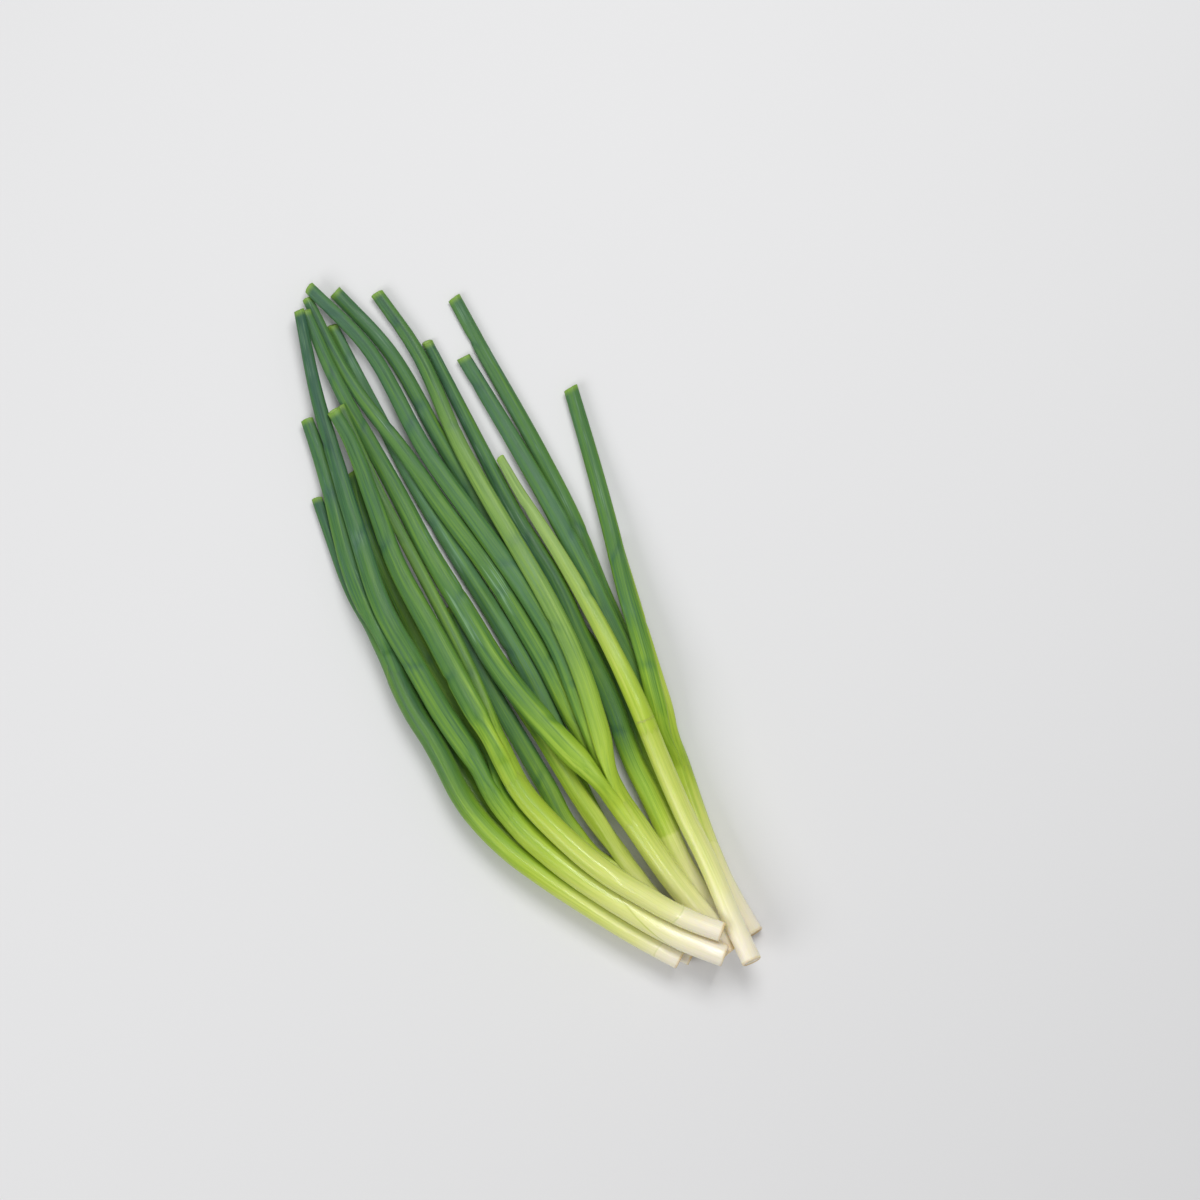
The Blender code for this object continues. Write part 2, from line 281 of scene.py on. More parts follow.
# How waxy a leaf is beside others with its finish: less is a clean grass green, more a greyer blue-green
WAXY_LEAVES = {
    "onion_1_leaf_1": 1.6, "onion_2_leaf_1": 0.7, "onion_4_leaf_1": 0.2, "onion_6_leaf_1": 1.5,
    "onion_6_leaf_2": 1.5, "onion_6_leaf_3": 0.4, "onion_7_leaf_1": 1.3, "onion_9_leaf_1": 0.5,
    "onion_9_leaf_2": 1.3, "onion_9_leaf_3": 1.3,
}

# The distance from the cut base past which a pale leaf is as green as the others again
GREENS_AGAIN = {"onion_6_leaf_4": 205.0}
GREENS_OVER = 40.0

# Where an old sheath that has faded ends on a leaf: its distance from the cut base, and the change of level
COLLARS = {"onion_7": (46.0, 0.09)}
COLLAR_LENGTH = 0.8

# The change dies away between one and two of these distances from the collar
COLLAR_REACH = 15.0


def greenness(onion, from_base):
    """The level of green at a distance from an onion's cut base."""
    cream, lime, green, furthest_level = CLIMBS[onion]
    stops = [CLIMB_START * cream, PALE_START * cream, lime, green, FURTHEST]
    levels = [0.0, PALE_LEVEL, LIME_LEVEL, GREEN_LEVEL, furthest_level]
    collar, change = COLLARS.get(onion, (0.0, 0.0))
    beyond = from_base - collar
    step = change * (ease(beyond / COLLAR_LENGTH) - 0.5)
    return np.interp(from_base, stops, levels) + step * ease(2 - abs(beyond) / COLLAR_REACH)


slots = {part["node"]: part["material_slot"] for part in frame["record"]["subparts"]}
print("slots:", sorted(set(slots.values())))

# %% [markdown]
# ## Stems
#
# A stem is cut at its base, more or less square. The cut shows the rings of the rolled sheaths, each a
# little lower than the one outside it, inside a rounded edge. Further up an older sheath ends in an
# oblique edge, a small step down to the next one. At the mouth the outermost sheath ends in a thin rim.
# The sheath belongs to the main leaf, which simply goes on from it. The rim starts where the leaves part
# and slants back over the other leaves, which come out from under it.

# %% Cut base, sheath step and mouth
# Share of the section's radius, then depth in millimetres, from the middle of the cut out to its edge
CUT_PROFILE = [
    (0.02, 0.66), (0.12, 0.64), (0.20, 0.62), (0.24, 0.46), (0.38, 0.49), (0.43, 0.32), (0.57, 0.36),
    (0.62, 0.19), (0.74, 0.22), (0.78, 0.06), (0.88, 0.03), (0.94, 0.09), (0.975, 0.22), (0.995, 0.42),
]
BASE_FULL = 0.7

# How much further back the cut base is at its top than at its bottom
BASE_SLANTS = {"onion_5": 1.0, "onion_8": 1.9, "onion_9": 1.3}
USUAL_BASE_SLANT = 0.5

# How many times wider than usual the dry brown edge of a cut base is
DRY_BASES = {"onion_6": 16.0, "onion_8": 1.3, "onion_9": 1.8}

# An old sheath's edge: its distance from the cut base, how far it slants, the side that it reaches furthest
# and how clearly it shows. Onion 8 has none, so its edge is put past the end of its stem.
SHEATH_EDGES = {
    "onion_1": (7.0, 3.0, 1.2, 0.4),
    "onion_2": (14.0, 32.0, 2.6, 1.0),
    "onion_3": (20.0, 8.0, 0.5, 0.4),
    "onion_4": (17.0, 2.2, -0.8, 0.45),
    "onion_5": (16.0, 5.0, 2.0, 0.4),
    "onion_6": (9.0, 5.0, 0.9, 0.4),
    "onion_7": (14.0, 6.0, 2.6, 0.4),
    "onion_8": (200.0, 0.0, 0.0, 0.0),
    "onion_9": (30.0, 9.0, 1.8, 0.3),
}
SHEATH_STEP = 0.026
SHEATH_STEP_LENGTH = 1.2
RIM_PAST_MOUTH = 0.8
RIM_SLANT = 10.0
RIM_SLANT_ALONE = 9.0
RIM_WALL = 0.24
STEM_RIBS = 9
STEM_RIB_DEPTH = 0.012
STEM_RIB_TWIST = 0.012

# Rows over the rim and down inside it: how far past the lip, and how far in from the skin
RIM_ROWS = [(0.0, 0.0), (0.0, 0.10), (-0.04, RIM_WALL), (-1.5, 0.4), (-4.0, 0.8)]

# The number of the leaf that goes on from the outermost sheath, where it isn't the first
MAIN_LEAVES = {"onion_5": 2, "onion_9": 3}


def onion_of(node):
    """The onion that a strand belongs to."""
    return "_".join(node.split("_")[:2])


def leaves_of(onion):
    """The leaves of an onion, in order."""
    return sorted(node for node in paths if node.startswith(f"{onion}_leaf"))


def main_leaf(onion):
    """The leaf that goes on from an onion's outermost sheath."""
    return f"{onion}_leaf_{MAIN_LEAVES.get(onion, 1)}"


def root_of(node):
    """Where a leaf's root sits in its stem's mouth, sideways and upward, and half its width and height."""
    mouth = paths[f"{onion_of(node)}_stem"][-1]
    side = sides_of(mouth[3:6])
    offset = paths[node][0, :3] - mouth[:3]
    return np.array([offset @ side, offset @ np.cross(mouth[3:6], side)]), paths[node][0, 6:8]


def stem_skin(onion, index):
    """The skin of one stem, from the middle of its cut base to the inside of its rim."""
    path = paths[f"{onion}_stem"]
    length = lengths_of(path)[-1]
    base_slant = BASE_SLANTS.get(onion, USUAL_BASE_SLANT)
    middle, _ = root_of(main_leaf(onion))
    toward_leaf = math.atan2(middle[1], middle[0])
    first = BASE_FULL + base_slant * (0.5 + 0.5 * upright)
    away = np.clip(-np.cos(angles - toward_leaf), 0.0, 1.0)
    slant_back = RIM_SLANT if len(leaves_of(onion)) > 1 else RIM_SLANT_ALONE
    last = length + RIM_PAST_MOUTH - slant_back * away
    body = np.linspace(0.0, 1.0, round(length / ROW_STEP))
    rows = [(depth + base_slant * (0.5 + 0.5 * share * upright), share, 0.0) for share, depth in CUT_PROFILE]
    rows += [(first + (last - first) * t, 1.0, 0.0) for t in body]
    rows += [(last + back, 1.0, inset) for back, inset in RIM_ROWS]
    distance = np.array([row[0] for row in rows])
    share = np.array([row[1] for row in rows])[:, None]
    inset = np.array([row[2] for row in rows])[:, None]
    centre, direction, across, up = sample(path, distance)
    start, slant, furthest, clear = SHEATH_EDGES[onion]
    edge = start + slant * (0.5 + 0.5 * np.cos(angles - furthest))
    steepness = 0.5 * slant * np.sin(angles - furthest) / across
    past = (distance - edge) / np.hypot(1.0, steepness)
    ribs = STEM_RIB_DEPTH * (0.5 + 0.5 * np.cos(STEM_RIBS * angles + index + distance * STEM_RIB_TWIST))
    reach = SKIN_SHRINK * share * (1 - ribs - SHEATH_STEP * ease(past / SHEATH_STEP_LENGTH + 0.5))
    points = skin_points(centre, direction, (across * reach - inset) * level, (up * reach - inset) * upright)
    radius = across * share
    place = np.stack([radius * level, radius * upright, distance + FURTHEST * index], axis=-1)
    on_cut = (np.arange(len(rows)) < len(CUT_PROFILE))[:, None]
    measures = {
        "greenness": greenness(onion, distance),
        "paleness": 0.0,
        "waxiness": 1.0,
        "fold": 0.5,
        "from_base": np.where(on_cut, (share - 1) * across, distance - first) / DRY_BASES.get(onion, 1.0),
        "from_lip": last - distance,
        "past_sheath": past,
        "edge_clear": clear,
    }
    return make_skin(f"{onion}_stem_skin", points, place, measures), length


# %% [markdown]
# ## Where leaves leave a stem
#
# In the mouth the leaves are packed together, so that each one's section is its share of the stem's oval,
# flat where it meets its neighbour. Round tubes pushed into a socket would look wrong here. We send a ray
# from the middle of the leaf's root towards each of its points. The ray stops at the stem's oval or at the
# line halfway to a neighbour, or a little past it, whichever is nearer. A soft minimum rounds the corners.

# %% The outline of a root
CORNER_POWER = 9
ROOT_OVERLAP = 1.0
LEAST_FACING = 0.05
NO_HURDLE = 1e3


def oval_radius(half, toward):
    """The radius of an oval in a direction."""
    return 1 / np.sqrt(((toward / half) ** 2).sum(axis=-1))


def root_outline(node):
    """The share of its stem's mouth that a leaf fills, as points round the middle of its root."""
    middle, half = root_of(node)
    mouth = paths[f"{onion_of(node)}_stem"][-1, 6:8]
    rays = unit(np.stack([half[0] * level, half[1] * upright], axis=-1))
    square = ((rays / mouth) ** 2).sum(axis=-1)
    cross = (rays * middle / mouth ** 2).sum(axis=-1)
    rest = ((middle / mouth) ** 2).sum() - 1
    hurdles = [(np.sqrt(cross ** 2 - square * rest) - cross) / square]
    for neighbour in leaves_of(onion_of(node)):
        if neighbour == node:
            continue
        other, other_half = root_of(neighbour)
        apart = np.linalg.norm(other - middle)
        toward = (other - middle) / apart
        own, its = oval_radius(half, toward), oval_radius(other_half, toward)
        border = own + (apart - own - its) / 2 + ROOT_OVERLAP
        facing = rays @ toward
        reached = border / np.maximum(facing, LEAST_FACING)
        hurdles.append(np.where(facing > LEAST_FACING, reached, NO_HURDLE))
    nearest = sum(hurdle ** -CORNER_POWER for hurdle in hurdles) ** (-1 / CORNER_POWER)
    return middle, rays[:, 0] * nearest, rays[:, 1] * nearest


# %% [markdown]
# ## Leaves
#
# A leaf is a hollow tube that has gone a little flat. It keeps soft lengthwise folds, with a ridge where
# the tube once creased and a shallow valley between two ridges. The absolute value of a sine has just that
# section, sharp at the top and round in the valley. Three of them with different counts, whose ridges
# wander slowly round the leaf, never repeat. Every few centimetres the tube once gave way a little, so it
# has a soft kink there, a shallow dent that fades out round the leaf. Folds and kinks fade in as the leaf
# leaves its round stem.

# %% Folds of a leaf
# How many ridges each set of folds has, and its depth as a share of the radius
FOLDS = ((5, 0.10), (3, 0.07), (11, 0.02))
FOLD_DEPTH = sum(depth for _, depth in FOLDS)
FOLD_SHARE = (0.4, 1.0)
FOLD_SHARPNESS = 0.9
FOLD_FADE_START = 2.0
FOLD_FADE = 26.0
EDGE_FOLD = 0.35
SWING_LENGTH = 38.0

# Drawn for each set of folds, from the least to the most: where its first ridge starts, how far the ridges
# drift with each millimetre, how far they swing, and where the swing starts
RIDGES = ((0, -0.004, 0.1, 0), (6.28, 0.004, 0.4, 6.28))

KINK_DEPTH = 0.10
KINK_SPACING = 52.0
# How much a kink's dent adds to the painted shade that the material puts in the valleys of folds
KINK_SHADE = 0.8

# Drawn for each kink: how far it is from its place, the side that it faces, how far it leans, and its width
KINKS = ((-20, 0, -3.5, 1.3), (20, 3.14, 3.5, 2.2))


def leaf_fold(distance, generator):
    """The share of its radius that a leaf keeps at its folds, and how near a ridge each point is, for the
    painted shade of valleys and kinks.
    """
    pulled = 0.0
    for count, depth in FOLDS:
        start, drift, swing, phase = generator.uniform(*RIDGES)
        share = generator.uniform(*FOLD_SHARE)
        ridge_at = start + drift * distance + swing * np.sin(distance / SWING_LENGTH + phase)
        pulled = pulled + share * depth * np.abs(np.sin(count * (angles - ridge_at) / 2)) ** FOLD_SHARPNESS
    pulled = pulled * (EDGE_FOLD + (1 - EDGE_FOLD) * np.abs(upright))
    kinks = 0.0
    for place in np.arange(KINK_SPACING, distance.max(), KINK_SPACING):
        shift, facing, lean, width = generator.uniform(*KINKS)
        beside = (distance - place - shift - lean * np.sin(angles - facing)) / width
        kinks = kinks + KINK_DEPTH * np.exp(-beside ** 2) * np.clip(np.cos(angles - facing), 0.0, 1.0)
    fade = ease((distance - FOLD_FADE_START) / FOLD_FADE)
    shade = pulled / FOLD_DEPTH + kinks / KINK_DEPTH * KINK_SHADE
    return 1 - (pulled + kinks) * fade, 0.5 + (0.5 - shade) * fade


# %% [markdown]
# The tip was cut with a knife: a thin wall round a hollow, not quite square and a little uneven.
# The skin turns over the rim, goes down the inside for some millimetres and closes there, out of sight.
# The root starts inside the stem, below the lowest point of its rim, and follows the stem's own path there.
# The main leaf comes up through the stem's skin at a shallow angle, so that no edge shows between the two.

# %% The skin of a leaf
ROOT_DEPTH = 11.0
BURIED_SHARE = 0.945
SWELL_LENGTH = 7.0
MAIN_START = -10.0
MAIN_RISE = 7.0
OPENING = 24.0
WALL = 0.55
CUT_GAP = 0.1
CUT_SLANT = 1.3
CUT_SLANT_SHARE = (0.3, 1.0)
CUT_RAGGED = 0.12
RAGGED_WAVES = (5, 3)

# The last row of the skin, then rows over the rim and down inside: how far back from the cut and how far
# in from the skin. Further down the wall gets slowly thicker.
BODY_END = 0.25
TIP_ROWS = [(0.08, 0.03), (0.0, 0.16), (0.02, WALL - 0.14), (0.2, WALL)]
HOLLOW_DEPTHS = (1.2, 3.0, 6.0, 10.0, 16.0)
HOLLOW_TAPER = 0.02


def leaf_skin(onion, node, index, stem_length):
    """The skin of one leaf, from its root in the stem to the bottom of its hollow tip."""
    generator = np.random.default_rng(zlib.crc32(node.encode()))
    path, stem_path = paths[node], paths[f"{onion}_stem"]
    length = lengths_of(path)[-1]
    face = generator.uniform(0, 2 * math.pi)
    slant = generator.uniform(*CUT_SLANT_SHARE) * CUT_SLANT
    many, few = RAGGED_WAVES
    ragged = CUT_RAGGED * np.abs(np.sin(many * angles + face) * np.sin(few * angles))
    cut = length - CUT_GAP - slant * (0.5 + 0.5 * np.cos(angles - face)) - ragged
    body = np.linspace(0.0, 1.0, round((length + ROOT_DEPTH) / ROW_STEP))
    rows = [(-ROOT_DEPTH + (cut - BODY_END + ROOT_DEPTH) * t, 0.0) for t in body]
    rows += [(cut - back, inward) for back, inward in TIP_ROWS]
    rows += [(cut - depth, WALL + HOLLOW_TAPER * depth) for depth in HOLLOW_DEPTHS]
    distance = np.array([row[0] for row in rows])
    inset = np.array([row[1] for row in rows])[:, None]
    inside = (np.arange(len(rows)) >= len(body))[:, None]

    middle, outline_sideways, outline_upward = root_outline(node)
    centre, direction, across, up = sample(path, np.maximum(distance, 0.0))
    opened = ease(distance / OPENING)
    rise = (distance - MAIN_START) / MAIN_RISE if node == main_leaf(onion) else distance / SWELL_LENGTH
    share = BURIED_SHARE + (1 - BURIED_SHARE) * ease(rise)
    fold, ridge = leaf_fold(distance, generator)
    sideways = outline_sideways + (across * level - outline_sideways) * opened
    upward = outline_upward + (up * upright - outline_upward) * opened
    settling = (share - 1) * (1 - opened)
    sideways = sideways * share * fold * SKIN_SHRINK + settling * middle[0] - inset * level
    upward = upward * share * fold * SKIN_SHRINK + settling * middle[1] - inset * upright
    free = skin_points(centre, direction, sideways, upward)
    stem_centre, stem_direction, _, _ = sample(stem_path, stem_length + distance)
    buried = skin_points(stem_centre, stem_direction, sideways + middle[0], upward + middle[1])
    points = np.where((distance < 0)[..., None], buried, free)

    place = np.stack([
        across * level * opened + (outline_sideways + middle[0]) * (1 - opened),
        across * upright * opened + (outline_upward + middle[1]) * (1 - opened),
        stem_length + distance + FURTHEST * index,
    ], axis=-1)
    own = 1 - ease((stem_length + distance - GREENS_AGAIN.get(node, FURTHEST)) / GREENS_OVER)
    # Own tint of each leaf, with painted shade for the deep leaves that lie under others and painted light
    # for onion 2's second leaf
    tint_and_painted_shading = (LEAF_TINTS_AND_PAINTED_SHADE[slots[node]] + OWN_TINTS_AND_PAINTED_LIGHT.get(node, 0.0)) * ease(distance / TINT_EASE) * own
    measures = {
        "greenness": greenness(onion, stem_length + distance) + tint_and_painted_shading,
        "paleness": FADED_LEAVES.get(node, 0.0) * ease(distance / FADE_IN) * own,
        "waxiness": WAXY_LEAVES.get(node, 1.0),
        "fold": ridge,
        "from_tip": np.where(inside, distance - cut, cut - distance),
    }
    return make_skin(f"{node}_skin", points, place, measures)


# %% [markdown]
# Now every onion grows its stem and then its leaves, which need to know how long their stem is.

# %% Grow all the strands
skins = {}
for index, onion in enumerate(sorted(CLIMBS), 1):
    stem_node = f"{onion}_stem"
    skins[stem_node], stem_length = stem_skin(onion, index)
    for node in leaves_of(onion):
        skins[node] = leaf_skin(onion, node, index, stem_length)
print("skins:", len(skins), "faces:", sum(len(skin.data.polygons) for skin in skins.values()))

# %% [markdown]
# ## Writing a material as a sum
#
# Node trees are easier to read as formulas. The class below wraps the output of a node, so that
# `1 - mask * 0.5` adds the Math nodes for it. Math nodes turn a colour grey, so colours go through
# a Mix node and vectors through a Vector Math node. Every other node comes from `node`, which takes
# the node's type, its settings and what goes into its sockets.

# %% A small helper for shader sockets
class Flow:
    """A value on its way through a material."""

    def __init__(self, tree, socket):
        self.tree = tree
        self.socket = socket

    def node(self, kind, settings=None, sockets=None, out=0):
        """Any node of the same material: its type, its settings, its inputs, and the output to take."""
        made = self.tree.nodes.new(kind)
        for key, value in (settings or {}).items():
            if key == "stops":
                set_stops(made.color_ramp, value)
            else:
                setattr(made, key, value)
        for key, value in (sockets or {}).items():
            self.feed(made.inputs[key], value)
        return Flow(self.tree, made.outputs[out])

    def feed(self, target, value):
        """Link a flow to an input, or set a plain value on it."""
        if isinstance(value, Flow):
            self.tree.links.new(value.socket, target)
        else:
            target.default_value = value

    def math(self, operation, first, second=0.0):
        """A Math node on one or two values."""
        return self.node("ShaderNodeMath", {"operation": operation}, {0: first, 1: second})

    def __add__(self, other):
        return self.math("ADD", self, other)

    __radd__ = __add__

    def __mul__(self, other):
        return self.math("MULTIPLY", self, other)

    __rmul__ = __mul__

    def __sub__(self, other):
        return self.math("SUBTRACT", self, other)

    def __rsub__(self, other):
        return self.math("SUBTRACT", other, self)

    def __abs__(self):
        return self.math("ABSOLUTE", self)

    def step(self, low, high):
        """0 below low, 1 above high and smooth between them, or the other way round if low is greater."""
        limits = {"Value": self, "From Min": min(low, high), "From Max": max(low, high)}
        if low > high:
            limits.update({"To Min": 1.0, "To Max": 0.0})
        return self.node("ShaderNodeMapRange", {"interpolation_type": "SMOOTHSTEP"}, limits)

    def mix(self, other, factor, blend="MIX"):
        """This colour, turning into another one as the factor goes to 1, or blended with it another way."""
        sockets = {0: factor, 6: self, 7: other}
        return self.node("ShaderNodeMix", {"data_type": "RGBA", "blend_type": blend}, sockets, out=2)


def set_stops(ramp, stops):
    """Give a colour ramp its stops, each a position and a colour."""
    while len(ramp.elements) < len(stops):
        ramp.elements.new(1.0)
    for element, (position, colour) in zip(ramp.elements, stops):
        element.position = position
        element.color = colour


def tone(red, green, blue):
    """A colour as a screen shows it, 0 to 255, turned into the linear values that light is counted in."""
    screen = np.array([red, green, blue]) / 255
    linear = np.where(screen < 0.04045, screen / 12.92, ((screen + 0.055) / 1.055) ** 2.4)
    return (*linear.tolist(), 1.0)


# %% [markdown]
# ## The living skin
#
# One recipe makes all six finishes, because a leaf is the same tissue as its stem, only greener.
# The level of green picks a colour from a ramp. Streaks move that level up and down a little, from broad
# ones that tint a whole side of a leaf to fine ones along the veins. A streak is noise stretched along the
# strand, read from the point's place in its own strand, so it has no seam and bends with the leaf.

# %% Tones and streaks
SKIN_TONES = [
    (0.00, tone(247, 238, 217)),
    (0.08, tone(243, 238, 198)),
    (0.16, tone(232, 233, 160)),
    (0.28, tone(212, 222, 117)),
    (0.40, tone(180, 204, 66)),
    (0.53, tone(146, 182, 54)),
    (0.64, tone(113, 155, 50)),
    (0.76, tone(87, 132, 56)),
    (0.88, tone(68, 112, 68)),
    (1.00, tone(54, 93, 74)),
]

# Each kind of streak: its width and length in millimetres, and how much finer detail it carries
STREAKS = {
    "sides": (5.0, 110.0, 2.0),
    "broad": (2.2, 70.0, 2.0),
    "middling": (0.9, 45.0, 2.0),
    "fine": (0.42, 34.0, 2.0),
    "patches": (7.0, 16.0, 2.0),
    "veins": (0.30, 60.0, 3.0),
}
STREAK_ROUGHNESS = 0.55


def read(start, measure):
    """One of the numbers that the mesh carries."""
    return start.node("ShaderNodeAttribute", {"attribute_name": measure}, out="Fac")


def streak(strand, width, length, detail):
    """Noise about as wide and long as given, in millimetres, centred on 0."""
    scale = (1 / width, 1 / width, 1 / length)
    place = strand.node("ShaderNodeVectorMath", {"operation": "MULTIPLY"}, {0: strand, 1: scale})
    noise = {"Vector": place, "Scale": 1.0, "Detail": detail, "Roughness": STREAK_ROUGHNESS}
    return strand.node("ShaderNodeTexNoise", {}, noise) - 0.5


def mingled(noise, shares):
    """Several kinds of streak added up, each by its share."""
    return sum(noise[kind] * share for kind, share in shares.items())


# %% [markdown]
# Whole skin comes first. Its stripes are lively where it is green and almost still where it is cream, and
# it has painted shade, a little darker, down in its folds and kinks. Pale veins are multiplied over it. Then
# comes wax: a soft grey bloom, strong in one finish and faint in the others, and thin pale lines between the
# veins, partly chalky wax and partly painted glints. Some leaves have more wax than others with their finish,
# and some have less.

# %% The colour of whole skin
FADED_TONE = tone(148, 178, 108)
VEIN_TONE = tone(204, 220, 188)
BLOOM_TONE = tone(118, 164, 122)
# Thin pale lines between the veins: partly chalky wax, partly painted glints of reflected light
CHALK_AND_GLINT_TONE = tone(150, 190, 150)

STRIPES = {"sides": 0.42, "broad": 0.22, "middling": 0.28, "fine": 0.20, "patches": 0.14}
VEINS = {"veins": 1.0, "middling": 1.0}
VEIN_SHOWS = (-0.05, 0.3)
CHALK_AND_GLINTS = {"veins": 0.8, "middling": 1.0, "patches": 0.8}
CHALK_AND_GLINTS_SHOW = (0.12, 0.42)
CHALK_AND_GLINT_SHARE = 0.4
# Painted shade: how much greener, and so darker, skin is down in the valleys of its folds and in its kinks
FOLD_PAINTED_SHADE = 0.12

# How much greener a stem is where an old sheath has gone, and where that starts and ends, in millimetres
NEWER_TINT = 0.03
NEWER_PAST_EDGE = (-0.15, 0.25)
NEWER_BELOW_LIP = (0.0, 0.1)

# Levels of green between which something comes in or fades
CHALK_AND_GLINTS_COME = (0.55, 0.8)
NEWER_FADES = (0.4, 0.6)


def whole_skin(at, noise, liveliness, wax, bloom):
    """The colour of skin away from its edges and cuts."""
    green = at["greenness"]
    newer = at["past_sheath"].step(*NEWER_PAST_EDGE) * at["from_lip"].step(*NEWER_BELOW_LIP) * NEWER_TINT
    # The real greener tint of a newer sheath, plus painted shade in the valleys of folds and in kinks
    tint_and_painted_shading = newer * (1 - green.step(*NEWER_FADES)) + (0.5 - at["fold"]) * FOLD_PAINTED_SHADE
    level = green + tint_and_painted_shading + mingled(noise, STRIPES) * liveliness
    colour = level.node("ShaderNodeValToRGB", {"stops": SKIN_TONES}, {"Fac": level})
    colour = colour.mix(FADED_TONE, at["paleness"])
    veins = mingled(noise, VEINS).step(*VEIN_SHOWS) * liveliness
    colour = colour.mix(VEIN_TONE, veins, "MULTIPLY")
    colour = colour.mix(BLOOM_TONE, wax.step(0.0, 1.0) * at["waxiness"] * bloom)
    # Thin pale lines between the veins, partly chalky wax and partly painted glints
    chalk_and_glints = mingled(noise, CHALK_AND_GLINTS).step(*CHALK_AND_GLINTS_SHOW) * green.step(*CHALK_AND_GLINTS_COME)
    return colour.mix(CHALK_AND_GLINT_TONE, chalk_and_glints * at["waxiness"] * CHALK_AND_GLINT_SHARE)


# %% [markdown]
# Over it go the marks of sheaths and cuts, each a band at some distance from an edge: the bright line of an
# old sheath's edge, the lip of the mouth, the paler rim of a cut tip with the hollow inside it, and the dry
# tan rim and first ring of a cut base. Patches break them up, so that none is a drawn line.

# %% Marks of sheaths and cuts
LIP_TONE = tone(202, 210, 112)
TIP_TONE = tone(140, 178, 66)
HOLLOW_TONE = tone(150, 182, 96)
TAN_TONE = tone(218, 180, 112)

# Distances in millimetres: where each band is not yet there, and where it is full
EDGE_BAND = (0.5, 0.1)
TIP_BAND = (2.6, 0.3)
INSIDE_TIP = (-0.4, 0.0)
HOLLOW_BAND = (0.0, -0.4)
BASE_BAND = (0.9, 0.1)
RING_BAND = (0.4, 0.1)

# How far in from the edge of a cut base its rim and its first ring lie, in millimetres
BASE_RIM = 0.5
BASE_RING = 2.2

# How clearly each mark shows, and how patches and fine streaks break it up
EDGE_SHOWS, EDGE_BREAKS = 0.85, {"patches": 0.8}
TIP_SHOWS, TIP_BREAKS = 0.62, {"fine": 0.8}
BASE_SHOWS, BASE_BREAKS = 0.8, {"patches": 2.0, "fine": 1.4}
LIP_SHOWS = 0.25
RING_SHOWS = 0.25


def marked_skin(colour, at, noise):
    """A colour with the marks of sheaths and cuts over it."""
    edge = abs(at["past_sheath"]).step(*EDGE_BAND) * (mingled(noise, EDGE_BREAKS) + EDGE_SHOWS)
    colour = colour.mix(LIP_TONE, edge * at["edge_clear"])
    colour = colour.mix(LIP_TONE, at["from_lip"].step(*EDGE_BAND) * LIP_SHOWS)
    tip = at["from_tip"].step(*TIP_BAND) * at["from_tip"].step(*INSIDE_TIP)
    colour = colour.mix(TIP_TONE, tip * (mingled(noise, TIP_BREAKS) + TIP_SHOWS))
    colour = colour.mix(HOLLOW_TONE, at["from_tip"].step(*HOLLOW_BAND))
    rim = abs(at["from_base"] + BASE_RIM).step(*BASE_BAND) * (mingled(noise, BASE_BREAKS) + BASE_SHOWS)
    ring = abs(at["from_base"] + BASE_RING).step(*RING_BAND) * RING_SHOWS
    return colour.mix(TAN_TONE, rim + ring)


# %% [markdown]
# The pale part of a stem is wet and smooth, so it has a clear coat, and light passes a little way under it.
# Green skin is waxy: rougher, with hardly any coat. The veins stand out as a very low relief.

# %% The material
LIVELINESS = 0.15
LIME_LIVELINESS = 0.2
GREEN_LIVELINESS = 0.65
WAX = {"patches": 1.2, "broad": 1.0, "middling": 0.9}
WAX_SHARE = 0.55
WAX_ROUGHNESS = 0.06

# Levels of green between which something comes in
LIME_COMES = (0.0, 0.3)
GREEN_COMES = (0.3, 0.8)
WAX_COMES = (0.5, 0.72)
COAT_GOES = (0.2, 0.58)
RELIEF_COMES = (0.05, 0.7)

GREEN_ROUGHNESS = 0.44
ROUGH_STREAKS = {"fine": 0.22, "patches": 0.14}
COAT_LOST = 0.75
COAT_ROUGHNESS = 0.11
RELIEF = {"veins": 0.7, "fine": 0.5, "broad": 0.6}
RELIEF_ON_CREAM, RELIEF_ADDED = 0.4, 0.6
SHEATH_RELIEF = -0.12
SHEATH_BAND = (-0.4, 0.4)
BUMP_STRENGTH = 0.55
BUMP_HEIGHT = 0.00022
GLOW_RADIUS = (1.0, 0.9, 0.35)
GLOW_DEPTH = 0.0028


